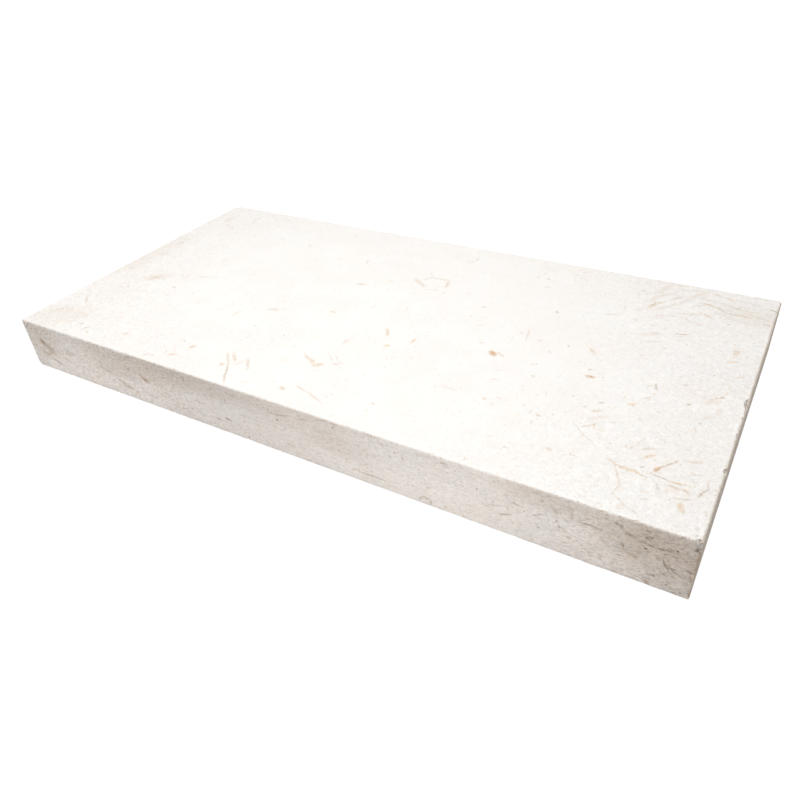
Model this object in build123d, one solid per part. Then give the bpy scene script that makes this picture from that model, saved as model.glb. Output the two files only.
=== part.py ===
from build123d import *
import os

# Pool coping stone: one slab sawn from a block of pale shell limestone, its edges rubbed
# down by hand and a few of its corners knocked. Millimetres. The origin is the middle of
# the bed face, +X runs along the pool's edge, +Y away from the front face and +Z up.

# Sawn size
stone_length = 610.0
stone_width = 305.0
stone_thickness = 50.0

# Radius that each kind of edge is eased to
top_easing = 2.0
bed_easing = 1.5
upright_easing = 1.8

# Knocked corners: a flake came off each one, so broad across its mouth and so deep
back_left_breadth = 28.0
back_left_bite = 3.7
front_left_breadth = 10.0
front_left_bite = 1.9
front_right_breadth = 11.0
front_right_bite = 2.2
back_right_breadth = 7.0
back_right_bite = 1.2

# Nicks along the right end's top edge: how long and deep, and how far from the front face
long_nick_length = 15.0
long_nick_bite = 1.7
long_nick_from_front = 143.0
short_nick_length = 6.0
short_nick_bite = 1.4
short_nick_from_front = 65.5


def sawn_slab():
    """The slab as it leaves the saw, with its upright, top and bed edges eased."""
    slab = extrude(Rectangle(stone_length, stone_width), stone_thickness)
    slab = fillet(slab.edges().filter_by(Axis.Z), upright_easing)
    slab = fillet(slab.faces().sort_by(Axis.Z)[-1].edges(), top_easing)
    return fillet(slab.faces().sort_by(Axis.Z)[0].edges(), bed_easing)


def flake(slab, sharp_point, outward, breadth, bite):
    """Ball that breaks a flake off the slab, leaving a shell-shaped scoop.

    The scoop is centred where the line from the sharp corner into the stone meets the
    eased surface, and goes bite deep from there.
    """
    direction = Vector(*outward).normalized()
    into_stone = Axis(sharp_point, -direction)
    mouth, _ = slab.find_intersection_points(into_stone)[0]
    ball_radius = (breadth**2 / 4 + bite**2) / (2 * bite)
    return Pos(*(mouth + direction * (ball_radius - bite))) * Sphere(ball_radius)


left, right = -stone_length / 2, stone_length / 2
front, back = -stone_width / 2, stone_width / 2
bed, top = 0.0, stone_thickness

slab = sawn_slab()
flakes = [
    flake(slab, (left, back, top), (-1, 1, 1), back_left_breadth, back_left_bite),
    flake(slab, (left, front, bed), (-1, -1, -1), front_left_breadth, front_left_bite),
    flake(slab, (right, front, top), (1, -1, 1), front_right_breadth, front_right_bite),
    flake(slab, (right, back, top), (1, 1, 1), back_right_breadth, back_right_bite),
]
for from_front, nick_length, nick_bite in (
    (long_nick_from_front, long_nick_length, long_nick_bite),
    (short_nick_from_front, short_nick_length, short_nick_bite),
):
    nick_middle = (right, front + from_front, top)
    flakes.append(flake(slab, nick_middle, (1, 0, 1), nick_length, nick_bite))

coping_slab = slab - flakes

os.makedirs("parts", exist_ok=True)
export_step(coping_slab, "parts/coping_slab.step")
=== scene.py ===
from math import atan2, hypot, radians

import bpy
import numpy as np
from mathutils import Euler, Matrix, Vector, geometry, noise


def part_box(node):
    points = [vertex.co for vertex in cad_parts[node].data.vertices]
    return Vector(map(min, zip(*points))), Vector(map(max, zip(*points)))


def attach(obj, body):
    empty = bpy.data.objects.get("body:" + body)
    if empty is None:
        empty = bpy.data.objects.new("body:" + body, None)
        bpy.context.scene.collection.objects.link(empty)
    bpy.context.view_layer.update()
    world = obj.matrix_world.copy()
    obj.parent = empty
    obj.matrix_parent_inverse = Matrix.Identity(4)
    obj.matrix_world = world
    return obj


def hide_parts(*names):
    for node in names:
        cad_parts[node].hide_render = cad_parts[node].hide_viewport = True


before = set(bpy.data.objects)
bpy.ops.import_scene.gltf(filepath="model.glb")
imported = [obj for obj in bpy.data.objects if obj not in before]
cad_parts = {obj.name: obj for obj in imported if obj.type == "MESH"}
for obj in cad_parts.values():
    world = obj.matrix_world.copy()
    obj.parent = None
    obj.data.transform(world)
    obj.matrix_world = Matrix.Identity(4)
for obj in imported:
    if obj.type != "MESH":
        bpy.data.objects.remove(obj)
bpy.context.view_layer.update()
mm = 0.001
slabLow, slabHigh = (np.array(corner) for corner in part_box("coping_slab"))

# Camera, above the front right corner as in the photo
cameraSettings = {
    "place": (313.7, -458.0, 353.8),  # millimetres from the middle of the bed face
    "turn": (53.67, 3.74, 30.48),  # degrees
    "lens": 31.49,
    "sensor": 36.0,
    "nearest": 10.0,  # nothing nearer than this many millimetres is drawn
}


def addCamera(settings):
    lens = bpy.data.cameras.new("photoCamera")
    lens.lens = settings["lens"]
    lens.sensor_width = settings["sensor"]
    lens.clip_start = settings["nearest"] * mm
    camera = bpy.data.objects.new("photoCamera", lens)
    camera.location = Vector(settings["place"]) * mm
    camera.rotation_euler = Euler([radians(angle) for angle in settings["turn"]])
    bpy.context.scene.collection.objects.link(camera)
    bpy.context.scene.camera = camera


addCamera(cameraSettings)
bpy.context.scene.view_settings.view_transform = "Standard"
print("camera set")

# Shape of the stone, in millimetres
slabSettings = {
    "topEasing": 2.0,  # radius of the rubbed edges round the top
    "bedEasing": 1.5,
    "raggedness": 0.25,  # how much the easing varies along an edge, as a share
    "raggedLength": 6.0,
    "topSpacing": 0.8,  # distance between points along the top edges
    "bedSpacing": 1.5,
    "uprightSpacing": 1.0,
    "coarseSpacing": 6.4,  # distance between points on the open faces
    "fineBand": 2.4,  # width of the finely divided band along an edge
    "spotSpacing": 0.5,  # distance between points in a pit or a knocked corner
    "pitReach": 1.3,  # how far out a pit is finely divided, as a share of its radius
    "flakeReach": 0.55,  # the same for a knocked corner, as a share of its breadth
    "spread": 0.6,  # how fast the points spread out beyond a fine spot or band
    "sameWithin": 0.01,  # points of two sides that are nearer than this become one
    "cellSlack": 0.75,  # below one lets the cells be a little larger than asked for
    "fractureGrain": 0.3,  # height of the broken surface's grain
    "fractureSize": 1.3,  # distance between its humps
    "grainDepth": 0.35,  # how deep a break has to be for its full grain
    "brokenDepth": 0.3,  # how deep a break has to be for its full colour
    "seed": 11,
}

# Knocked corners and nicks: way out of the stone, how far along the edge from its left, front
# or bed end, breadth, bite
flakeSettings = {
    "backLeft": ((-1, 1, 1), 0.0, 28.0, 3.7),
    "frontLeft": ((-1, -1, -1), 0.0, 10.0, 1.9),
    "frontRight": ((0, -1, 1), 608.4, 5.8, 1.5),
    "frontRightUpright": ((1, -1, 0), 45.4, 9.6, 2.0),
    "backRight": ((1, 1, 1), 0.0, 7.0, 1.2),
    "longNick": ((1, 0, 1), 143.0, 15.0, 1.7),
    "shortNick": ((1, 0, 1), 65.5, 6.0, 1.4),
}

# Small chips strewn along each edge, which is given by its way out of the stone: how many, from
# and to along it, the largest breadth
chipSettings = {
    (1, 0, 1): ((12, 8, 296, 2.2), (16, 97, 136, 4.6), (6, 2, 12, 3.4)),
    (0, -1, 1): ((30, 8, 600, 2.2), (10, 552, 608, 3.6)),
    (-1, 0, 1): ((12, 8, 290, 3.0),),
    (0, 1, 1): ((22, 8, 600, 3.0),),
    (1, -1, 0): ((5, 4, 46, 3.0),),
    (-1, -1, 0): ((4, 6, 44, 3.0),),
    (0, -1, -1): ((14, 10, 600, 3.6),),
    (1, 0, -1): ((8, 10, 295, 3.6),),
    (0, 1, -1): ((14, 10, 600, 3.6),),
    (-1, 0, -1): ((8, 10, 295, 3.6),),
}
chipShares = {
    "breadth": (0.45, 1.0),  # of the largest breadth
    "bite": (0.1, 0.2),  # of the chip's own breadth
}

# Pits: on which side, where on it (x and y, or x and z), radius and depth
pitSettings = {
    "seen": {
        "front": (
            (303, 42.4, 1.5, 1.1), (-36, 4.0, 1.2, 0.6), (52, 44.0, 1.1, 0.8),
            (221, 28.0, 1.1, 0.9), (223, 23.5, 1.1, 0.9), (275.5, 30.5, 1.0, 0.7),
            (293, 37.0, 0.9, 0.6), (283, 11.0, 0.9, 0.7), (291, 6.6, 0.8, 0.6),
            (177.5, 25.3, 0.9, 0.7), (-165, 33.6, 1.1, 0.6), (-53.5, 35.0, 0.9, 0.6),
            (-66.5, 42.0, 0.8, 0.5), (-88.5, 13.5, 0.9, 0.6), (99.5, 34.5, 0.8, 0.5),
            (109.5, 37.2, 0.9, 0.6), (199.5, 27.0, 0.8, 0.5), (209.5, 16.8, 0.9, 0.6),
            (211, 41.0, 0.8, 0.5), (299.5, 3.4, 0.9, 0.6), (303.6, 45.6, 0.8, 0.6),
        ),
        "top": (
            (76.5, 23.5, 0.9, 0.5), (168.5, 11.5, 1.0, 0.5), (277, 15.9, 0.8, 0.5),
            (-259.5, -96.3, 0.9, 0.5), (280.5, -45.7, 0.8, 0.4), (300.5, -148.6, 0.8, 0.6),
        ),
    },
    # how many more are strewn on each side, and the shares of its width and height between
    # which they lie
    "strewn": {"top": 10, "bed": 16, "front": 8, "back": 20, "right": 12, "left": 12},
    "strewnAcross": (0.01, 0.99),
    "strewnUp": (0.08, 0.92),
    "radius": (0.5, 1.0),
    "depthShare": (0.5, 0.8),  # of the radius
    "unevenness": 0.3,  # of the rim, as a share of the radius
    "unevenSize": 0.9,
    "shadeGain": 1.6,  # above one gives a pit its full shade before its deepest point
}

# One side of the slab: the corner it starts from and the ways its width and height run
slabSides = {
    "top": ((-1, -1, 1), (1, 0, 0), (0, 1, 0)),
    "bed": ((-1, 1, -1), (1, 0, 0), (0, -1, 0)),
    "front": ((-1, -1, -1), (1, 0, 0), (0, 0, 1)),
    "back": ((1, 1, -1), (-1, 0, 0), (0, 0, 1)),
    "right": ((1, -1, -1), (0, 1, 0), (0, 0, 1)),
    "left": ((-1, 1, -1), (0, -1, 0), (0, 0, 1)),
}

# Where each side lies on the square picture map: its corner in pixels and its scale
mapSettings = {
    "pixels": 1024,
    "scale": 1.652,  # pixels per millimetre
    "corners": {
        "top": (8, 8),
        "front": (8, 520),
        "back": (8, 611),
        "right": (8, 702),
        "left": (520, 702),
        "bed": (8, 793),
    },
    "bedShare": 0.72,  # the bed is hardly seen, so it gets a smaller scale
}


def cornerPoint(signs):
    return np.where(np.array(signs) > 0, slabHigh, slabLow)


def sideFrame(name):
    # start corner, the two ways and the two lengths of one side
    signs, across, up = (np.array(way, float) for way in slabSides[name])
    extent = slabHigh - slabLow
    return cornerPoint(signs), across, up, abs(extent @ across), abs(extent @ up)


def strewnChips():
    dice = np.random.default_rng(slabSettings["seed"])
    chips = []
    for signs, stretches in chipSettings.items():
        for count, start, end, largest in stretches:
            for along in dice.uniform(start, end, count):
                breadth = largest * dice.uniform(*chipShares["breadth"])
                bite = breadth * dice.uniform(*chipShares["bite"])
                chips.append((signs, along, breadth, bite))
    return chips


def allPits():
    # place, way out, radius and depth of every pit, in metres
    dice = np.random.default_rng(slabSettings["seed"] + 1)
    pits = []
    for name in slabSides:
        start, across, up, width, height = sideFrame(name)
        outward = np.cross(across, up)
        placed = list(pitSettings["seen"].get(name, ()))
        for _ in range(pitSettings["strewn"][name]):
            u = (start @ across + dice.uniform(*pitSettings["strewnAcross"]) * width) / mm
            v = (start @ up + dice.uniform(*pitSettings["strewnUp"]) * height) / mm
            radius = dice.uniform(*pitSettings["radius"])
            depth = radius * dice.uniform(*pitSettings["depthShare"])
            placed.append((u, v, radius, depth))
        for u, v, radius, depth in placed:
            middle = start + across * (u * mm - start @ across) + up * (v * mm - start @ up)
            pits.append((middle, outward, radius * mm, depth * mm))
    return pits


def edgeSpacing(start, end, settings):
    # how closely the points stand along the slab edge between two of its corners
    if abs(start[2] - end[2]) > settings["sameWithin"] * mm:
        return settings["uprightSpacing"] * mm
    onTop = start[2] > (slabLow[2] + slabHigh[2]) / 2
    return settings["topSpacing" if onTop else "bedSpacing"] * mm


def gradedPoints(width, height, spacingAt, settings):
    # cells that are split in four until each is as small as the place asks for
    coarse = settings["coarseSpacing"] * mm
    counts = np.maximum(1, np.round(np.array((width, height)) / coarse))
    size = np.array((width, height)) / counts
    columns, rows = np.meshgrid(np.arange(counts[0]), np.arange(counts[1]), indexing="ij")
    middles = (np.stack((columns, rows), -1).reshape(-1, 2) + 0.5) * size
    quarters = np.array(((-0.5, -0.5), (0.5, -0.5), (-0.5, 0.5), (0.5, 0.5)))
    points = []
    while len(middles):
        tooBig = spacingAt(middles) < settings["cellSlack"] * size.max()
        points.append(middles[~tooBig])
        size = size / 2
        middles = (middles[tooBig][:, None] + quarters * size).reshape(-1, 2)
    return np.concatenate(points)


def sideMesh(name, spots, settings):
    # points and triangles of one flat side, before its edges are rounded
    start, across, up, width, height = sideFrame(name)
    corners = np.array(((0, 0), (width, 0), (width, height), (0, height)))
    border = []
    spacings = []
    for i in range(4):
        a, b = corners[i], corners[(i + 1) % 4]
        ends = [start + across * c[0] + up * c[1] for c in (a, b)]
        spacing = edgeSpacing(*ends, settings)
        spacings.append(spacing)
        steps = round(np.linalg.norm(b - a) / spacing)
        border.append(a + (b - a) * (np.arange(steps) / steps)[:, None])
    border = np.concatenate(border)
    near = []
    for middle, radius in spots:
        reach = middle - start
        if abs(reach @ np.cross(across, up)) < radius / 2:
            near.append((np.array((reach @ across, reach @ up)), radius))

    def spacingAt(points):
        gaps = (points[:, 1], width - points[:, 0], height - points[:, 1], points[:, 0])
        wanted = np.full(len(points), np.inf)
        for spacing, gap in zip(spacings, gaps):
            beyond = np.maximum(0, gap - settings["fineBand"] * mm)
            wanted = np.minimum(wanted, spacing + settings["spread"] * beyond)
        for place, radius in near:
            beyond = np.maximum(0, np.linalg.norm(points - place, axis=1) - radius)
            fine = settings["spotSpacing"] * mm + settings["spread"] * beyond
            wanted = np.minimum(wanted, fine)
        return wanted

    inside = gradedPoints(width, height, spacingAt, settings)
    flat = np.concatenate((border, inside))
    ring = [(i, (i + 1) % len(border)) for i in range(len(border))]
    wholeHull, closest = 0, 1e-5  # kind of result, and millimetres at which two points are one
    placed, _, triangles, *_ = geometry.delaunay_2d_cdt(
        [Vector(p) for p in flat / mm], ring, [], wholeHull, closest
    )
    flat = np.array(placed) * mm
    solid = start + flat[:, :1] * across + flat[:, 1:] * up
    return solid, flat, np.array([tuple(t) for t in triangles])


def wobble(points, size, smoothness):
    # a noise at each point, of three layers that are each twice as fine as the last
    finer, layers = 2.0, 3
    return np.array([noise.fractal(Vector(p) / size, smoothness, finer, layers) for p in points])


def roundEdges(points, settings):
    # pulls the sharp edges in to their easing, which varies a little along each edge, and
    # gives the way that the surface faces at each point
    share = (points[:, 2] - slabLow[2]) / (slabHigh[2] - slabLow[2])
    radius = settings["bedEasing"] + share * (settings["topEasing"] - settings["bedEasing"])
    wander = wobble(points, settings["raggedLength"] * mm, 1.0)
    radius = radius * mm * (1 + settings["raggedness"] * wander)
    inner = np.clip(points, slabLow + radius[:, None], slabHigh - radius[:, None])
    outward = points - inner
    outward /= np.linalg.norm(outward, axis=1)[:, None]
    return inner + radius[:, None] * outward, outward


def edgePoint(signs, along):
    signs = np.array(signs)
    return cornerPoint(signs) + (signs == 0) * along * mm


def breakFlake(points, broken, settings, signs, along, breadth, bite):
    # pushes the points inside a ball out to its skin, which leaves a shell-shaped scoop
    middle = edgePoint(signs, along)
    signs = np.array(signs, float)
    outward = signs / np.linalg.norm(signs)
    easing = settings["topEasing" if signs[2] > 0 else "bedEasing"] * mm
    if signs[2] == 0:
        easing = (settings["topEasing"] + settings["bedEasing"]) / 2 * mm
    setback = easing * (np.sqrt(np.count_nonzero(signs)) - 1)
    breadth, bite = breadth * mm, bite * mm
    ball = (breadth**2 / 4 + bite**2) / (2 * bite)
    centre = middle + outward * (ball - bite - setback)
    reach = points - centre
    distance = np.linalg.norm(reach, axis=1)
    inside = np.flatnonzero(distance < ball)
    if not len(inside):
        return
    depth = ball - distance[inside]
    grain = wobble(points[inside], settings["fractureSize"] * mm, 0.8)
    fullGrain = np.minimum(1, depth / (settings["grainDepth"] * mm))
    grain *= settings["fractureGrain"] * mm * fullGrain
    fullColour = np.minimum(1, depth / (settings["brokenDepth"] * mm))
    broken[inside] = np.maximum(broken[inside], fullColour)
    points[inside] = centre + reach[inside] / distance[inside, None] * (ball + grain)[:, None]


def sinkPit(points, hollow, middle, outward, radius, depth):
    # a rounded hollow with an uneven rim
    reach = points - middle
    reach -= (reach @ outward)[:, None] * outward
    near = np.flatnonzero(np.linalg.norm(points - middle, axis=1) < 2 * radius)
    waves = pitSettings["unevenSize"] * mm
    for i in near:
        rim = radius * (1 + pitSettings["unevenness"] * noise.noise(Vector(points[i]) / waves))
        share = np.linalg.norm(reach[i]) / rim
        if share < 1:
            fall = 1 - share**2
            points[i] -= outward * depth * fall
            hollow[i] = max(hollow[i], min(1, pitSettings["shadeGain"] * fall))


def mapCorners(flats, sides):
    # picture-map place of every corner of every triangle
    spots = np.empty_like(flats)
    for name, corner in mapSettings["corners"].items():
        scale = mapSettings["scale"] * (mapSettings["bedShare"] if name == "bed" else 1)
        here = sides == name
        spots[here] = np.array(corner) + flats[here] / mm * scale
    return spots / mapSettings["pixels"]


def setValues(mesh, name, values):
    mesh.attributes.new(name, "FLOAT", "POINT").data.foreach_set("value", values)


def buildSlab(settings):
    pits = allPits()
    spots = [(middle, settings["pitReach"] * radius) for middle, _, radius, _ in pits]
    for signs, along, breadth, _ in flakeSettings.values():
        spots.append((edgePoint(signs, along), settings["flakeReach"] * breadth * mm))
    solids, flats, triangles, sides = [], [], [], []
    offset = 0
    for name in slabSides:
        solid, flat, faces = sideMesh(name, spots, settings)
        solids.append(solid)
        flats.append(flat)
        triangles.append(faces + offset)
        sides += [name] * len(faces)
        offset += len(solid)
    solid = np.concatenate(solids)
    flat = np.concatenate(flats)
    triangles = np.concatenate(triangles)
    # points shared by two sides become one
    keys = np.round(solid / (settings["sameWithin"] * mm)).astype(int)
    _, first, shared = np.unique(keys, axis=0, return_index=True, return_inverse=True)
    shared = shared.reshape(-1)
    points, outward = roundEdges(solid[first], settings)
    hollow = np.zeros(len(points))
    broken = np.zeros(len(points))
    for pit in pits:
        sinkPit(points, hollow, *pit)
    for flake in list(flakeSettings.values()) + strewnChips():
        breakFlake(points, broken, settings, *flake)
    mesh = bpy.data.meshes.new("copingSlab")
    mesh.from_pydata(points.tolist(), [], shared[triangles].tolist())
    spread = mapCorners(flat[triangles.reshape(-1)], np.repeat(sides, 3))
    mesh.uv_layers.new(name="OFBake").data.foreach_set("uv", spread.reshape(-1))
    setValues(mesh, "hollow", hollow)
    setValues(mesh, "broken", broken)
    finish = [0 if name == "top" else 1 for name in sides]
    mesh.polygons.foreach_set("material_index", finish)
    mesh.shade_smooth()
    # whole stone faces exactly as cut, and broken or pitted stone as its points lie
    faces = np.empty(3 * len(points))
    mesh.vertices.foreach_get("normal", faces)
    damage = np.minimum(1, broken + hollow)[:, None]
    faces = outward + damage * (faces.reshape(-1, 3) - outward)
    faces /= np.linalg.norm(faces, axis=1)[:, None]
    mesh.normals_split_custom_set_from_vertices(faces.tolist())
    slab = bpy.data.objects.new("copingSlab", mesh)
    bpy.context.scene.collection.objects.link(slab)
    return slab


slab = buildSlab(slabSettings)
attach(slab, "root")
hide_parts("coping_slab")
print("slab made:", len(slab.data.polygons), "triangles")

# The stone's colour and surface. Sizes are in millimetres, and a pair of levels is where on a
# noise from 0 to 1 a change starts and is full.
stoneSettings = {
    "ivory": (0.935, 0.912, 0.88),
    "cream": (0.925, 0.885, 0.845),
    "cool": (0.912, 0.884, 0.858),
    "cloudSize": 42.0,
    "creamLevels": (0.42, 0.6),
    "coolLevels": (0.5, 0.66),
    "coolShare": 0.7,
    "blotchSize": 4.5,
    "grainSize": 1.7,
    "grainDepth": 0.045,
    "layerScale": (0.03, 0.03, 0.5),  # layers of bedding per millimetre each way
    "fleckSize": 1.5,
    "fleckLevels": (0.56, 0.68),
    "gatherLevels": (0.4, 0.6),  # levels of the blotches between which the flecks gather
    "gatherShares": (0.3, 1.5),  # strength of the flecks off and on the blotches
    "paleLevels": (0.42, 0.3),
    "paleFleck": (0.97, 0.96, 0.95),
    "paleMiddle": 0.4,  # strength of the pale flecks in the plain middle
    "warp": 2.2,  # how far the rims of shells and shards wander
    "warpScale": 0.5,
    "bow": 5.0,  # how far the long shards bend to and fro
    "bowSize": 14.0,
    "curl": 1.2,  # how strongly the strewn shells are bent
    "curlRange": (-0.5, 1.3),  # how that varies from shell to shell
    "shellRim": (1.25, 0.7),  # from where to where a shell fades in, as shares of its sizes
    "shardRim": (1.3, 0.65),
    "softRim": (1.0, 0.4),
    "shardDepth": 4.0,  # half of how deep a placed shard goes into the stone
    "patchSize": 60.0,  # some patches hold more shells than others
    "patchLevels": (0.35, 0.65),
    "patchShares": (0.5, 1.5),
    "crowdShare": 1.3,  # share of the shells at the two ends
    "faintest": 0.35,  # strength of the faintest shell
    "wornScale": 0.4,
    "wornLevels": (0.34, 0.54),
    "wornLeast": 0.45,
    "clearRim": (0.78, 1.2),  # from where to where the shells crowd in, as shares of the reach
    "hollowShade": ((0.6, 0.53, 0.46), 0.8),  # tone of the pits and its strength
    # broken places are paler, partly as fresh stone and partly as painted light on scoops that face
    # away from the lamps
    "brokenStoneAndPaintedLight": ((0.97, 0.94, 0.9), 0.75),  # the same for the broken places
    "crumbShade": (0.62, 0.53, 0.45),
    "crumbScale": 0.6,
    "crumbLevels": (0.47, 0.39),
    "brokenRoughness": 0.85,
    "roughnessSwing": (-0.06, 0.08),  # how far the grain takes the roughness down and up
    # painted light: the shaded right end is tinted warmer, like the warm bounce light it gets
    "paintedEndWarmth": (1.065, 1.005, 0.925),  # the right end is browner than the front
    "endRim": (1.9, 1.2),  # how far in from the end its tint starts and is full
}
noiseRange = (0.3, 0.7)  # nearly all of a noise lies between these
noiseMiddle = (0.5, 0.5, 0.5)
fullTurn = 6.283  # radians
farOff = 100.0  # a reach past every shard's rim
tinyShare = (1e-9, 1e-9, 1e-9)
softTones = ("stainAndPaintedShade", "shade", "paintedShade")  # these fade out softly and are never worn or greyed

# Colours that a shell or a shard gives the ground under it, as shares of the ground's colour. The
# last three are soft patches, mostly painted shade
toneSettings = {
    "light": (1.06, 1.06, 1.07),
    "pale": (0.935, 0.9, 0.865),
    "tan": (0.865, 0.81, 0.75),
    "amber": (0.86, 0.775, 0.68),
    "brown": (0.73, 0.65, 0.565),
    "dark": (0.58, 0.49, 0.41),
    "yellow": (0.875, 0.76, 0.61),
    "orange": (0.74, 0.5, 0.3),
    # a soft darker patch: painted shade on the front face, and darker patches near the ends of the
    # top
    "stainAndPaintedShade": (0.955, 0.938, 0.915),
    # painted shade at the right end of the front, and the brown fill of one shell
    "shade": (0.87, 0.838, 0.805),
    # painted shade over the upper part of the front face and at its right end
    "paintedShade": (0.92, 0.905, 0.895),
}

# Strewn shells: distance between them, their half length, half breadth and thickness as shares
# of it, how many of the places have one, and tone
shellSettings = {
    "specks": (3.4, 0.42, 0.26, 0.13, 0.55, (0.94, 0.905, 0.85)),
    "slivers": (8.5, 0.46, 0.14, 0.05, 0.5, (0.86, 0.8, 0.72)),
    "shards": (22.0, 0.42, 0.1, 0.035, 0.35, (0.88, 0.82, 0.74)),
}

# How the honed top and the sawn sides differ
finishSettings = {
    "honed": {
        "tint": (1.0, 1.0, 1.0),
        "roughness": 0.52,
        "specular": 0.4,
        "relief": 0.05,  # height of the grain in millimetres
        "contrast": (0.42, 1.75),  # strength of the ground's pattern in the middle and at the ends
        "blotches": 0.03,  # how much the blotches lighten and darken the ground
        "flecks": 0.26,
        "fleckTone": (0.84, 0.775, 0.7),
        "shells": 1.1,
        "middleShells": (0.72, 0.82),  # share and strength of the shells in the plain middle
        "bedding": 0.0,  # how much the layers lighten and darken the ground
        "stretch": (1.0, 1.0, 1.0),  # below one draws the flecks out along the bedding
        "pale": 0.35,  # strength of the pale flecks
        "greying": 0.0,  # how much greyer the placed shells are than their tones
        "clearMiddle": (-10.0, 10.0, 25.0),  # the stone is plainest here
        "clearReach": (240.0, 190.0, 400.0),
        "clearTurn": -25.0,  # degrees
    },
    "sawn": {
        "tint": (0.985, 0.95, 0.925),
        "roughness": 0.72,
        "specular": 0.15,
        "relief": 0.12,
        "contrast": (2.6, 4.7),
        "blotches": 0.016,
        "flecks": 0.26,
        "fleckTone": (0.79, 0.74, 0.7),
        "shells": 1.7,
        "middleShells": (0.4, 0.6),
        "bedding": 0.012,
        "stretch": (0.5, 0.5, 1.1),
        "pale": 0.8,
        "greying": 0.45,
        "clearMiddle": (70.0, -152.0, 25.0),
        "clearReach": (160.0, 400.0, 400.0),
        "clearTurn": 0.0,
    },
}
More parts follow.
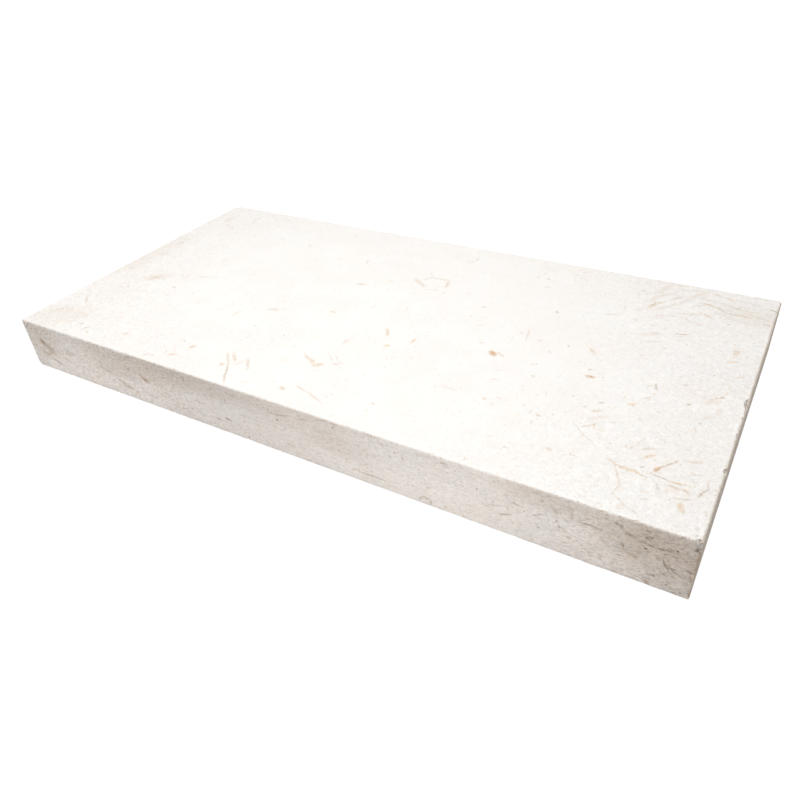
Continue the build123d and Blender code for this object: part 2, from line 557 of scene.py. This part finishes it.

# Shells and shards seen in place on the top, and darker soft patches near its ends: from x, y to x,
# y, and width
topMarks = {
    # darker soft patches near the ends of the top
    "stainAndPaintedShade": (
        (262, 116, 318, 118, 46), (-320, -60, -300, 60, 90), (-306, -138, -246, -118, 46),
    ),
    "pale": (
        (279, -20, 286, -15, 5), (277, -40, 287, -35, 3), (288, -24, 289, -30, 4),
        (214, -72, 223, -65, 4), (264, -127, 266, -126, 3), (276, -121, 280, -119, 4),
        (254, -146, 258, -145, 4), (132, -57, 137, -56, 3), (102, -80, 115, -82, 3),
        (215, 53, 230, 60, 5), (238, 59, 245, 62, 3), (235, 126, 247, 144, 5),
        (4, 84, 11, 75, 2.4), (15, 50, 27, 55, 2.4), (-62, -126, -58, -114, 3),
        (-251, -95, -257, -82, 3), (-256, -40, -240, -28, 14), (-292, -30, -288, -26, 6),
        (-287, -127, -284, -118, 6), (208, 125, 215, 144, 6), (213, 149, 231, 148, 3),
        (204, 108, 222, 134, 5), (226, 108, 240, 132, 4), (214, 96, 226, 110, 5),
        (236, 132, 262, 128, 4), (228, 140, 246, 146, 4), (240, 112, 256, 126, 3.4),
        (262, 128, 284, 122, 3), (258, 112, 274, 104, 3), (232, 96, 252, 104, 3),
        (272, 140, 290, 136, 3), (216, 84, 226, 92, 4), (240, 88, 262, 84, 3),
        (276, 104, 292, 100, 2.4), (282, 118, 300, 112, 2.4), (199, 87, 205, 95, 3),
        (-288, 10, -284, 14, 5), (-284, 111, -283, 123, 6), (-252, 119, -250, 132, 7),
        (-207, -16, -190, -9, 4), (-150, 92, -145, 88, 4), (224, 90, 236, 93, 3.4),
        (268, -13, 279, -17, 1.6),
    ),
    "tan": (
        (212, -82, 220, -75, 2), (239, -34, 245, -28, 1.6), (254, -88, 260, -84, 2),
        (243, -111, 251, -127, 1.5), (251, -127, 249, -136, 1.5), (249, -136, 259, -144, 1.6),
        (259, -144, 266, -147, 1.6), (267, -113, 274, -123, 1.4), (286, -114, 290, -117, 1.8),
        (286, -100, 293, -98, 1.6), (298, -101, 298, -109, 1.6), (284, -125, 293, -120, 2),
        (279, -17, 288, -10, 1.3), (251, -76, 249, -87, 1.2), (249, -87, 245, -93, 1.2),
        (205, -80, 226, -99, 1.1), (-81, -114, -68, -128, 2.4), (-58, -114, -48, -127, 2.6),
        (-3, -80, 12, -90, 1.3), (2, -78, 18, -88, 1.2), (8, -92, 20, -84, 1.2),
        (2, -127, 15, -130, 2), (15, -130, 33, -138, 2.6), (221, 42, 232, 47, 2),
        (290, 18, 297, 24, 1.3), (-2, 65, 11, 56, 5), (6, 67, 11, 75, 3),
        (11, 74, 28, 76, 2.6), (130, 23, 134, 5, 1.7), (-274, -103, -283, -93, 2.6),
        (-252, -37, -246, -32, 5), (-290, 41, -287, 43, 4), (-51, 35, -41, 37, 3.4),
        (-99, -41, -88, -37, 3.4), (178, 71, 193, 78, 1.8), (-242, -133, -239, -133, 4),
        (-190, -128, -185, -129, 3.4), (112, 116, 113, 114, 3), (28, 74, 31, 62, 3.4),
        (158, -39, 160, -40, 2.2), (146, -76, 149, -77, 1.8), (172, -124, 175, -125, 1.8),
        (164, 67, 167, 68, 1.8), (204, -61, 206, -60, 2), (-25, 52, -21, 53, 2),
        (157, -3, 160, -3, 2), (142, 10, 146, 11, 1.8), (138, 128, 142, 129, 2),
        (115, 98, 119, 98, 2), (-141, -144, -137, -145, 1.8), (-131, -114, -127, -115, 1.8),
        (243, -89, 244, -92, 1.8), (227, -70, 230, -68, 1.8), (297, 107, 302, 105, 2),
        (280, 113, 286, 112, 1.8), (12, -89, 15, -91, 2.4), (271, 94, 274, 93, 2),
        (-267, 9, -264, 9, 2), (235, 38, 238, 39, 1.8), (299, -141, 300, -144, 1.6),
    ),
    "amber": (
        (252, 143, 259, 140, 2.4), (246, 123, 260, 118, 2.4), (247, 106, 260, 99, 2.4),
        (268, 113, 281, 112, 2), (222, 118, 229, 128, 3), (207, 100, 217, 112, 3.4),
        (262, 140, 270, 136, 2.6), (259, 119, 267, 115, 2.4), (213, -63, 218, -59, 2.6),
        (238, -108, 247, -111, 2), (276, -90, 276, -93, 2.2), (275, -116, 287, -114, 2.4),
        (282, -88, 291, -85, 2.2), (-75, -129, -72, -129, 4), (-75, -114, -67, -121, 3),
        (-19, -88, -2, -98, 3.6), (-3, -99, 2, -94, 4.6), (121, -20, 128, -24, 2.2),
        (185, 14, 192, 9, 2.6), (-8, -134, -4, -136, 4), (67, -122, 70, -123, 2.2),
        (-41, -20, -37, -20, 2), (137, -81, 139, -82, 2), (102, -12, 105, -13, 2),
        (198, -113, 201, -114, 2), (178, -83, 181, -84, 1.8), (78, 42, 82, 43, 1.8),
    ),
    "brown": (
        (243, -13, 245, -19, 1.7), (268, -101, 276, -92, 1.4), (267, -109, 277, -111, 1.4),
        (298, -109, 295, -116, 1.7), (287, -11, 289, -9, 1.8), (-68, -128, -55, -148, 2.2),
        (238, 64, 248, 67, 1.8), (267, -27, 269, -26, 2), (-233, -138, -231, -134, 2.2),
        (298, 132, 304, 131, 2), (140, 60, 141, 58, 2), (212, -51, 215, -50, 2),
        (-217, -44, -213, -44, 2), (258, -106, 260, -104, 1.6), (260, -5, 263, -4, 1.6),
        (194, -14, 196, -13, 1.6),
    ),
    "yellow": (
        (256, -97, 261, -91, 2.2), (246, -110, 262, -114, 2.2), (277, -111, 286, -110, 1.9),
        (287, -128, 288, -134, 3.6), (233, -44, 236, -44, 3.4), (282, 36, 289, 40, 2.4),
        (20, -26, 27, -34, 2.8), (34, -49, 36, -48, 3.4), (51, -37, 52, -29, 3),
        (-126, -138, -120, -134, 2.6), (-117, -121, -116, -118, 4.4),
    ),
    "orange": (
        (116, -23, 121, -25, 5.4), (267, -105, 269, -101, 2.2), (195, -23, 199, -23, 3),
    ),
}

# The same on the front face, where the soft patches are mostly painted shade: from x, z to x, z,
# and width
frontMarks = {
    # painted shade: a darker upper part along the front and a darker right end
    "stainAndPaintedShade": (
        (252, 32, 306, 22, 64), (180, 45, 250, 42, 26), (-235, 31, -115, 33, 26),
        (-270, 43, 90, 44, 26), (-306, 48, -255, 40, 26),
    ),
    # painted shade at the right end, and the brown fill of the shell at the left end
    "shade": (
        (236, 44, 330, 32, 52), (276, 48, 318, 40, 28), (-283, 29, -267, 21, 11),
    ),
    # painted shade: a darker upper part of the front face, its right end and a few patches
    "paintedShade": (
        (-240, 41, -20, 42, 34), (-215, 27, -150, 28, 22), (264, 47, 330, 36, 46),
        (282, 13, 318, 6, 32), (190, 45, 225, 44, 22), (252, 28, 276, 22, 22),
        (25, 28, 85, 28, 26),
    ),
    "light": (
        (231, 29, 233, 17, 7), (256, 41, 259, 38, 6),
    ),
    "pale": (
        (-300, 27, -268, 24, 24), (-242, 28, -223, 25, 6), (20, 41, 33, 45, 3),
        (32, 34, 55, 40, 4), (117, 44, 134, 46, 3), (-262, 22, -250, 17, 3),
        (154, 47, 155, 45, 3),
    ),
    "tan": (
        (-303, 45, -299, 48.5, 1.4), (-270, 24, -281, 18, 4), (-251, 27, -242, 28, 5),
        (-206, 24, -191, 22, 3), (-165, 46, -156, 47, 3), (-51, 44, -41, 42, 3),
        (79, 48, 89, 47, 2.4), (89, 47, 96, 42, 1.6), (171, 19, 185, 26, 1.6),
        (4, 12, 10, 10, 2.6), (-146, 11, -137, 10, 3), (-109, 9, -101, 12, 2.2),
        (-101, 12, -93, 14, 2.2), (218, 40, 220, 36, 2.6), (34, 46.5, 48, 48.5, 2),
        (228, 47, 230, 32, 3), (-282, 30, -270, 24, 9), (-260, 28.5, -257, 27.5, 2.4),
        (11, 30.5, 13, 31, 2), (204, 45, 208, 46, 2), (185, 35, 188, 35.5, 2),
        (-244, 43, -241, 43.5, 2.4), (-68, 42, -65, 42.5, 2), (127, 17.5, 129, 18, 1.8),
    ),
    "brown": (
        (-277, 15, -264, 9, 4), (-301.5, 41.5, -295.5, 47.5, 1.6), (-180, 13, -169, 11, 4),
        (-186, 17, -176, 14, 2.6), (139, 45, 145, 45, 2), (73, 10, 94, 10, 1.5),
        (-9, 37, 10, 41, 1.4), (-68, 13, -63, 12, 2.2), (183, 17, 190, 20, 1.7),
        (205, 27, 212, 30, 1.7), (192, 32, 195, 31, 1.8), (234, 33, 248, 34, 1.6),
        (262, 39, 267, 38, 3), (302, 22, 303, 15, 1.5), (-98, 46, -96, 42, 2),
        (122, 5, 126, 8, 1.9), (126, 8, 130, 7, 1.9), (130, 7, 132, 3, 1.9),
        (-168, 33, -165, 32.5, 2), (228, 17.5, 230, 16.5, 2), (286, 16.5, 290, 13.5, 1.4),
        (274, 46, 277, 45, 1.8), (258, 3, 261, 2.4, 1.8),
    ),
    "dark": (
        (-58, 16, -53, 15, 2), (-1, 34, 0, 33, 2), (256, 43.5, 260, 42, 1.8),
        (275, 39, 278, 41, 2.2), (272, 35, 281, 34, 1.5), (281, 34, 290, 36, 1.6),
        (288, 24, 298, 17, 1.1), (290, 22, 295, 21.5, 1.5), (287, 26, 291, 18, 0.9),
        (300, 23, 303, 22.5, 1.4), (282, 11.4, 284, 10.6, 1.6), (262, 29, 263, 26, 1.8),
        (275, 30.5, 276, 30.5, 1.6),
    ),
    "yellow": (
        (-288, 19, -280, 17, 4), (51, 48, 55, 48, 2.4),
    ),
    "orange": (
        (278, 5, 280, 3, 2.2), (-285.5, 32, -282.5, 29.5, 5.4), (-152, 31, -142, 25, 4),
    ),
}


def addNode(tree, kind, inputs=None, **settings):
    made = tree.nodes.new(kind)
    for name, value in settings.items():
        setattr(made, name, value)
    for name, value in (inputs or {}).items():
        if isinstance(value, bpy.types.NodeSocket):
            tree.links.new(value, made.inputs[name])
        else:
            made.inputs[name].default_value = value
    return made


def calc(tree, operation, *values):
    return addNode(tree, "ShaderNodeMath", dict(enumerate(values)), operation=operation).outputs[0]


def calcVector(tree, operation, *values):
    made = addNode(tree, "ShaderNodeVectorMath", dict(enumerate(values)), operation=operation)
    return made.outputs["Value" if operation == "LENGTH" else "Vector"]


def scaleVector(tree, vector, scale):
    made = addNode(tree, "ShaderNodeVectorMath", {0: vector, "Scale": scale}, operation="SCALE")
    return made.outputs["Vector"]


def remap(tree, value, start, end, low=0.0, high=1.0):
    made = addNode(
        tree,
        "ShaderNodeMapRange",
        {"Value": value, "From Min": start, "From Max": end, "To Min": low, "To Max": high},
    )
    return made.outputs["Result"]


def times(tree, value, *others):
    for other in others:
        value = calc(tree, "MULTIPLY", value, other)
    return value


def addNoise(tree, vector, scale, detail, roughness=0.5, distortion=0.0):
    inputs = {"Vector": vector, "Scale": scale, "Detail": detail}
    inputs |= {"Roughness": roughness, "Distortion": distortion}
    return addNode(tree, "ShaderNodeTexNoise", inputs).outputs


def reachFrom(tree, vector, middle, turn, halfSizes):
    # how far a place is from the middle of a turned ellipsoid: 1 is on its skin
    inputs = {"Vector": vector, "Location": middle, "Rotation": turn, "Scale": halfSizes}
    made = addNode(tree, "ShaderNodeMapping", inputs, vector_type="TEXTURE")
    return calcVector(tree, "LENGTH", made.outputs["Vector"])


def mixColour(tree, share, first, second, blend="MIX"):
    # the mix node's colour sockets are its seventh and eighth
    inputs = {0: share, 6: first, 7: second}
    for place, value in inputs.items():
        if isinstance(value, tuple):
            inputs[place] = (*value, 1)
    settings = {"data_type": "RGBA", "blend_type": blend, "clamp_factor": True}
    return addNode(tree, "ShaderNodeMix", inputs, **settings).outputs[2]


def tinted(tree, share, colour, tone):
    return mixColour(tree, share, colour, tone, "MULTIPLY")


def newGroup(name, inputs, outputs):
    # an empty node group with named sockets: inputs maps a name to its kind and value, where
    # None leaves the value to the material
    group = bpy.data.node_groups.new(name, "ShaderNodeTree")
    kinds = {"value": "NodeSocketFloat", "vector": "NodeSocketVector", "colour": "NodeSocketColor"}
    for label, (kind, value) in inputs.items():
        socket = group.interface.new_socket(label, in_out="INPUT", socket_type=kinds[kind])
        if value is not None:
            socket.default_value = value
    for label, kind in outputs.items():
        group.interface.new_socket(label, in_out="OUTPUT", socket_type=kinds[kind])
    given = group.nodes.new("NodeGroupInput").outputs
    result = group.nodes.new("NodeGroupOutput").inputs
    return group, given, result


def useGroup(tree, group, inputs):
    return addNode(tree, "ShaderNodeGroup", inputs, node_tree=group).outputs


def makeGroundGroup():
    # cloudy ivory ground with a fine wormy grain
    group, given, result = newGroup(
        "limestoneGround",
        {
            "Vector": ("vector", None),
            "Ivory": ("colour", (*stoneSettings["ivory"], 1)),
            "Cream": ("colour", (*stoneSettings["cream"], 1)),
            "Cool": ("colour", (*stoneSettings["cool"], 1)),
            "Cloud Size": ("value", stoneSettings["cloudSize"]),
            "Blotch Size": ("value", stoneSettings["blotchSize"]),
            "Blotch Depth": ("value", None),
            "Grain Size": ("value", stoneSettings["grainSize"]),
            "Grain Depth": ("value", stoneSettings["grainDepth"]),
            "Bedding Depth": ("value", None),
            "Contrast": ("value", None),
            "Fleck Size": ("value", stoneSettings["fleckSize"]),
            "Fleck Depth": ("value", None),
            "Fleck Tone": ("colour", None),
            "Pale Depth": ("value", None),
            "Stretch": ("vector", None),
        },
        {"Colour": "colour", "Grain": "value"},
    )
    cloudScale = calc(group, "DIVIDE", 1.0, given["Cloud Size"])
    clouds = addNoise(group, given["Vector"], cloudScale, detail=4.0, roughness=0.62)
    split = addNode(group, "ShaderNodeSeparateColor", {"Color": clouds["Color"]}).outputs
    creamShare = remap(group, split["Red"], *stoneSettings["creamLevels"])
    coolFull = stoneSettings["coolShare"]
    coolShare = remap(group, split["Green"], *stoneSettings["coolLevels"], 0.0, coolFull)
    colour = mixColour(group, creamShare, given["Ivory"], given["Cream"])
    colour = mixColour(group, coolShare, colour, given["Cool"])
    blotchScale = calc(group, "DIVIDE", 1.0, given["Blotch Size"])
    blotches = addNoise(group, given["Vector"], blotchScale, detail=2.0, distortion=0.8)["Fac"]
    drawn = calcVector(group, "MULTIPLY", given["Vector"], given["Stretch"])
    grainScale = calc(group, "DIVIDE", 1.0, given["Grain Size"])
    grain = addNoise(group, drawn, grainScale, detail=3.0, roughness=0.7, distortion=1.2)["Fac"]
    flat = calcVector(group, "MULTIPLY", given["Vector"], stoneSettings["layerScale"])
    layers = addNoise(group, flat, 1.0, detail=3.0)["Fac"]
    sway = 0.0
    for pattern, name in ((blotches, "Blotch"), (grain, "Grain"), (layers, "Bedding")):
        level = remap(group, pattern, *noiseRange, -1.0, 1.0)
        sway = calc(group, "MULTIPLY_ADD", level, given[name + " Depth"], sway)
    lift = calc(group, "MULTIPLY_ADD", sway, given["Contrast"], 1.0)
    shade = addNode(group, "ShaderNodeCombineColor", {"Red": lift, "Green": lift, "Blue": lift})
    colour = tinted(group, 1.0, colour, shade.outputs["Color"])
    fleckScale = calc(group, "DIVIDE", 1.0, given["Fleck Size"])
    flecks = addNoise(group, drawn, fleckScale, detail=1.0, distortion=0.5)["Fac"]
    pale = remap(group, flecks, *stoneSettings["paleLevels"])
    pale = times(group, pale, given["Pale Depth"])
    colour = mixColour(group, pale, colour, stoneSettings["paleFleck"])
    mask = remap(group, flecks, *stoneSettings["fleckLevels"])
    gathering = (*stoneSettings["gatherLevels"], *stoneSettings["gatherShares"])
    mask = times(group, mask, remap(group, blotches, *gathering))
    mask = times(group, mask, times(group, given["Fleck Depth"], given["Contrast"]))
    colour = tinted(group, mask, colour, given["Fleck Tone"])
    group.links.new(colour, result["Colour"])
    group.links.new(grain, result["Grain"])
    return group


def makeShellGroup():
    # thin bent plates strewn through the stone at every angle, cut by its surface
    group, given, result = newGroup(
        "strewnShells",
        {
            "Vector": ("vector", None),
            "Spacing": ("value", None),
            "Half Length": ("value", None),
            "Half Breadth": ("value", None),
            "Thickness": ("value", None),
            "Share": ("value", None),
            "Curl": ("value", stoneSettings["curl"]),
        },
        {"Mask": "value", "Chance": "value"},
    )
    cellScale = calc(group, "DIVIDE", 1.0, given["Spacing"])
    cells = scaleVector(group, given["Vector"], cellScale)
    voronoi = addNode(group, "ShaderNodeTexVoronoi", {"Vector": cells, "Scale": 1.0})
    dice = addNode(group, "ShaderNodeTexWhiteNoise", {"Vector": voronoi.outputs["Position"]})
    local = calcVector(group, "SUBTRACT", cells, voronoi.outputs["Position"])
    angles = scaleVector(group, voronoi.outputs["Color"], fullTurn)
    inputs = {"Vector": local, "Rotation": angles}
    turned = addNode(group, "ShaderNodeVectorRotate", inputs, rotation_type="EULER_XYZ")
    parts = addNode(group, "ShaderNodeSeparateXYZ", {"Vector": turned.outputs["Vector"]}).outputs
    x = calc(group, "DIVIDE", parts["X"], given["Half Length"])
    y = calc(group, "DIVIDE", parts["Y"], given["Half Breadth"])
    across = calc(group, "ADD", times(group, x, x), times(group, y, y))
    split = addNode(group, "ShaderNodeSeparateColor", {"Color": dice.outputs["Color"]}).outputs
    bend = remap(group, split["Blue"], 0.0, 1.0, *stoneSettings["curlRange"])
    bend = times(group, bend, given["Curl"])
    bow = times(group, parts["X"], parts["X"], bend)
    height = calc(group, "ABSOLUTE", calc(group, "ADD", parts["Z"], bow))
    height = calc(group, "DIVIDE", height, given["Thickness"])
    reach = calc(group, "MAXIMUM", across, height)
    mask = remap(group, reach, *stoneSettings["shellRim"])
    chosen = calc(group, "LESS_THAN", dice.outputs["Value"], given["Share"])
    group.links.new(times(group, mask, chosen), result["Mask"])
    group.links.new(split["Green"], result["Chance"])
    return group


def makeShardGroup():
    # one long lens-shaped shard; Reach is 1 at its rim, and the nearest shard so far is kept
    group, given, result = newGroup(
        "placedShard",
        {
            "Vector": ("vector", None),
            "So Far": ("value", None),
            "Middle": ("vector", None),
            "Turn": ("vector", None),
            "Half Sizes": ("vector", None),
        },
        {"Reach": "value"},
    )
    # this tiny share of So Far makes the shards wait for each other, which saves memory
    held = calcVector(group, "MULTIPLY_ADD", given["So Far"], tinyShare, given["Vector"])
    own = reachFrom(group, held, given["Middle"], given["Turn"], given["Half Sizes"])
    group.links.new(calc(group, "MINIMUM", own, given["So Far"]), result["Reach"])
    return group


def markMask(tree, group, vector, marks, onTop, rim):
    # how far the surface lies inside any of the marks
    reach = farOff
    depth = stoneSettings["shardDepth"]
    for startAcross, startUp, endAcross, endUp, width in marks:
        middleAcross = (startAcross + endAcross) / 2
        middleUp = (startUp + endUp) / 2
        # a shard tapers, so it runs on a little past both ends
        half = hypot(endAcross - startAcross, endUp - startUp) / 2 + width / 3
        angle = atan2(endUp - startUp, endAcross - startAcross)
        if onTop:
            middle = (middleAcross, middleUp, slabHigh[2] / mm)
            turn = (0, 0, angle)
            sizes = (half, width / 2, depth)
        else:
            middle = (middleAcross, slabLow[1] / mm, middleUp)
            turn = (0, -angle, 0)
            sizes = (half, depth, width / 2)
        inputs = {"Vector": vector, "So Far": reach}
        inputs |= {"Middle": middle, "Turn": turn, "Half Sizes": sizes}
        reach = useGroup(tree, group, inputs)["Reach"]
    return remap(tree, reach, *rim)


def greyed(tone, share):
    middle = sum(tone) / 3
    return tuple(value + (middle - value) * share for value in tone)


def makeStone(name, finish, marks, onTop, groups):
    material = bpy.data.materials.new(name)
    material.use_nodes = True
    tree = material.node_tree
    shader = tree.nodes["Principled BSDF"]
    place = addNode(tree, "ShaderNodeTexCoord").outputs["Object"]
    vector = scaleVector(tree, place, 1 / mm)
    wander = addNoise(tree, vector, stoneSettings["warpScale"], detail=2.0)
    shift = calcVector(tree, "SUBTRACT", wander["Color"], noiseMiddle)
    warped = calcVector(tree, "ADD", vector, scaleVector(tree, shift, stoneSettings["warp"]))
    # the stone is plain in the middle, and its shells crowd towards the two ends
    turn = (0, 0, radians(finish["clearTurn"]))
    away = reachFrom(tree, vector, finish["clearMiddle"], turn, finish["clearReach"])
    crowd = remap(tree, away, *stoneSettings["clearRim"])
    contrast = remap(tree, crowd, 0.0, 1.0, *finish["contrast"])
    paleShare = remap(tree, crowd, 0.0, 1.0, stoneSettings["paleMiddle"], 1.0)
    ground = useGroup(
        tree,
        groups["ground"],
        {
            "Vector": vector,
            "Contrast": contrast,
            "Fleck Depth": finish["flecks"],
            "Fleck Tone": (*finish["fleckTone"], 1),
            "Blotch Depth": finish["blotches"],
            "Bedding Depth": finish["bedding"],
            "Pale Depth": times(tree, paleShare, finish["pale"]),
            "Stretch": finish["stretch"],
        },
    )
    colour = tinted(tree, 1.0, ground["Colour"], finish["tint"])
    patches = addNoise(tree, vector, 1 / stoneSettings["patchSize"], detail=2.0)["Fac"]
    middleShare, middleStrength = finish["middleShells"]
    strength = remap(tree, crowd, 0.0, 1.0, middleStrength, 1.0)
    patching = (*stoneSettings["patchLevels"], *stoneSettings["patchShares"])
    share = remap(tree, patches, *patching)
    crowding = remap(tree, crowd, 0.0, 1.0, middleShare, stoneSettings["crowdShare"])
    share = times(tree, share, crowding)
    for spacing, halfLength, halfBreadth, thickness, count, tone in shellSettings.values():
        shells = useGroup(
            tree,
            groups["shells"],
            {
                "Vector": warped,
                "Spacing": spacing,
                "Half Length": halfLength,
                "Half Breadth": halfBreadth,
                "Thickness": thickness,
                "Share": times(tree, share, count),
            },
        )
        depth = remap(tree, shells["Chance"], 0.0, 1.0, stoneSettings["faintest"], finish["shells"])
        mask = times(tree, shells["Mask"], depth, strength)
        colour = tinted(tree, mask, colour, tone)
    # the long shards bend to and fro, and are worn thin in places
    bows = addNoise(tree, vector, 1 / stoneSettings["bowSize"], detail=1.0)
    bow = calcVector(tree, "SUBTRACT", bows["Color"], noiseMiddle)
    bent = calcVector(tree, "ADD", warped, scaleVector(tree, bow, stoneSettings["bow"]))
    worn = addNoise(tree, vector, stoneSettings["wornScale"], detail=2.0)["Fac"]
    worn = remap(tree, worn, *stoneSettings["wornLevels"], stoneSettings["wornLeast"], 1.0)
    for tone, places in marks.items():
        # the soft tones are mostly painted shade: a darker upper part and right end of the front
        # face
        soft = tone in softTones
        rim = stoneSettings["softRim" if soft else "shardRim"]
        mask = markMask(tree, groups["shard"], bent, places, onTop, rim)
        shown = toneSettings[tone]
        if not soft:
            mask = times(tree, mask, worn)
            shown = greyed(shown, finish["greying"])
        colour = tinted(tree, mask, colour, shown)

    hollow = addNode(tree, "ShaderNodeAttribute", attribute_name="hollow").outputs["Fac"]
    broken = addNode(tree, "ShaderNodeAttribute", attribute_name="broken").outputs["Fac"]
    tone, strength = stoneSettings["hollowShade"]
    colour = tinted(tree, times(tree, hollow, strength), colour, tone)
    # paler broken stone: fresh stone, and painted light on the shaded scoops
    tone, strength = stoneSettings["brokenStoneAndPaintedLight"]
    colour = mixColour(tree, times(tree, broken, strength), colour, tone)
    crumbs = addNoise(tree, vector, stoneSettings["crumbScale"], detail=2.0)["Fac"]
    crumbs = times(tree, remap(tree, crumbs, *stoneSettings["crumbLevels"]), broken)
    colour = tinted(tree, crumbs, colour, stoneSettings["crumbShade"])
    # painted warm bounce light on the right end
    across = addNode(tree, "ShaderNodeSeparateXYZ", {"Vector": vector}).outputs["X"]
    end = remap(tree, across, *(slabHigh[0] / mm - inset for inset in stoneSettings["endRim"]))
    colour = tinted(tree, end, colour, stoneSettings["paintedEndWarmth"])
    tree.links.new(colour, shader.inputs["Base Color"])

    ends = [finish["roughness"] + swing for swing in stoneSettings["roughnessSwing"]]
    rough = remap(tree, ground["Grain"], *noiseRange, *ends)
    brokenRough = times(tree, broken, stoneSettings["brokenRoughness"])
    rough = calc(tree, "MAXIMUM", rough, brokenRough)
    tree.links.new(rough, shader.inputs["Roughness"])
    shader.inputs["Specular IOR Level"].default_value = finish["specular"]
    # the bump's distance is for a full step from 0 to 1, more than the grain takes
    distance = finish["relief"] * mm / (noiseRange[1] - noiseRange[0])
    inputs = {"Height": ground["Grain"], "Distance": distance, "Strength": 1.0}
    relief = addNode(tree, "ShaderNodeBump", inputs)
    tree.links.new(relief.outputs["Normal"], shader.inputs["Normal"])
    return material


stoneGroups = {"ground": makeGroundGroup(), "shells": makeShellGroup(), "shard": makeShardGroup()}
honed = makeStone("honedLimestone", finishSettings["honed"], topMarks, True, stoneGroups)
sawn = makeStone("sawnLimestone", finishSettings["sawn"], frontMarks, False, stoneGroups)
slab.data.materials.append(honed)
slab.data.materials.append(sawn)
print("stone coloured")

# Floor, white to the camera and a plain pale grey to the light. Its lengths are in metres.
floorSettings = {
    "reach": 8.0,
    "colour": (0.65, 0.65, 0.65, 1),
    "shadowShare": 0.22,  # how much of the real shading the camera sees on the floor
    "glow": 1.25,  # the white that the camera sees there
    "fade": (0.4, 0.9),  # from where to where the shading fades out
}


def addFloor(settings):
    reach = settings["reach"]
    mesh = bpy.data.meshes.new("studioFloor")
    corners = [(-reach, -reach, 0), (reach, -reach, 0), (reach, reach, 0), (-reach, reach, 0)]
    mesh.from_pydata(corners, [], [(0, 1, 2, 3)])
    floor = bpy.data.objects.new("studioFloor", mesh)
    bpy.context.scene.collection.objects.link(floor)
    material = bpy.data.materials.new("studioFloor")
    material.use_nodes = True
    tree = material.node_tree
    tree.nodes.clear()
    diffuse = addNode(tree, "ShaderNodeBsdfDiffuse", {"Color": settings["colour"]}).outputs[0]
    glow = addNode(tree, "ShaderNodeEmission", {"Strength": settings["glow"]}).outputs[0]
    # the shading shows near the stone and fades out towards the backdrop
    place = addNode(tree, "ShaderNodeNewGeometry").outputs["Position"]
    away = calcVector(tree, "LENGTH", place)
    share = remap(tree, away, *settings["fade"], settings["shadowShare"], 0.0)
    seen = addNode(tree, "ShaderNodeMixShader", {0: share, 1: glow, 2: diffuse}).outputs[0]
    rays = addNode(tree, "ShaderNodeLightPath").outputs
    direct = calc(tree, "MAXIMUM", rays["Is Camera Ray"], rays["Is Glossy Ray"])
    both = addNode(tree, "ShaderNodeMixShader", {0: direct, 1: diffuse, 2: seen})
    addNode(tree, "ShaderNodeOutputMaterial", {"Surface": both.outputs[0]})
    mesh.materials.append(material)


addFloor(floorSettings)

# Light: a dim white room, soft boxes overhead and in front, and thin strips that glow just above
# the floor in front
lightSettings = {
    "room": 0.26,
    "lamps": {  # place and aim in metres, size of the box in metres, watts
        "leftBox": ((-0.7, -0.35, 1.3), (0.1, 0.0, 0.0), (0.7, 0.6), 8.4),
        "rightBox": ((0.1, 0.0, 0.9), (0.1, 0.0, 0.0), (0.6, 0.5), 4.1),
        "backBox": ((-0.45, 0.3, 1.0), (-0.25, 0.1, 0.0), (0.6, 0.5), 1.1),
        "frontBox": ((0.17, -0.4, 0.1), (0.17, -0.15, 0.025), (0.15, 0.08), 0.162),
        "longGlow": ((-0.06, -0.195, 0.005), (-0.06, -0.15, 0.008), (0.5, 0.006), 0.0152),
        "middleGlow": ((-0.15, -0.195, 0.005), (-0.15, -0.15, 0.008), (0.12, 0.006), 0.0048),
        "leftGlow": ((-0.27, -0.195, 0.005), (-0.27, -0.15, 0.008), (0.12, 0.006), 0.0054),
        "rightGlow": ((0.21, -0.195, 0.005), (0.21, -0.15, 0.008), (0.13, 0.006), 0.0018),
    },
}


def addLight(settings):
    world = bpy.data.worlds.new("studioRoom")
    world.use_nodes = True
    bpy.context.scene.world = world
    tree = world.node_tree
    tree.nodes.clear()
    white = {"Color": (1, 1, 1, 1)}
    room = addNode(tree, "ShaderNodeBackground", {**white, "Strength": settings["room"]})
    seen = addNode(tree, "ShaderNodeBackground", white)
    direct = addNode(tree, "ShaderNodeLightPath").outputs["Is Camera Ray"]
    shaders = {0: direct, 1: room.outputs[0], 2: seen.outputs[0]}
    mix = addNode(tree, "ShaderNodeMixShader", shaders)
    addNode(tree, "ShaderNodeOutputWorld", {"Surface": mix.outputs[0]})
    for name, (place, aim, size, watts) in settings["lamps"].items():
        lamp = bpy.data.lights.new(name, "AREA")
        lamp.shape = "RECTANGLE"
        lamp.size, lamp.size_y = size
        lamp.energy = watts
        box = bpy.data.objects.new(name, lamp)
        box.location = place
        box.rotation_euler = (Vector(aim) - Vector(place)).to_track_quat("-Z", "Y").to_euler()
        box.visible_camera = False
        bpy.context.scene.collection.objects.link(box)


addLight(lightSettings)
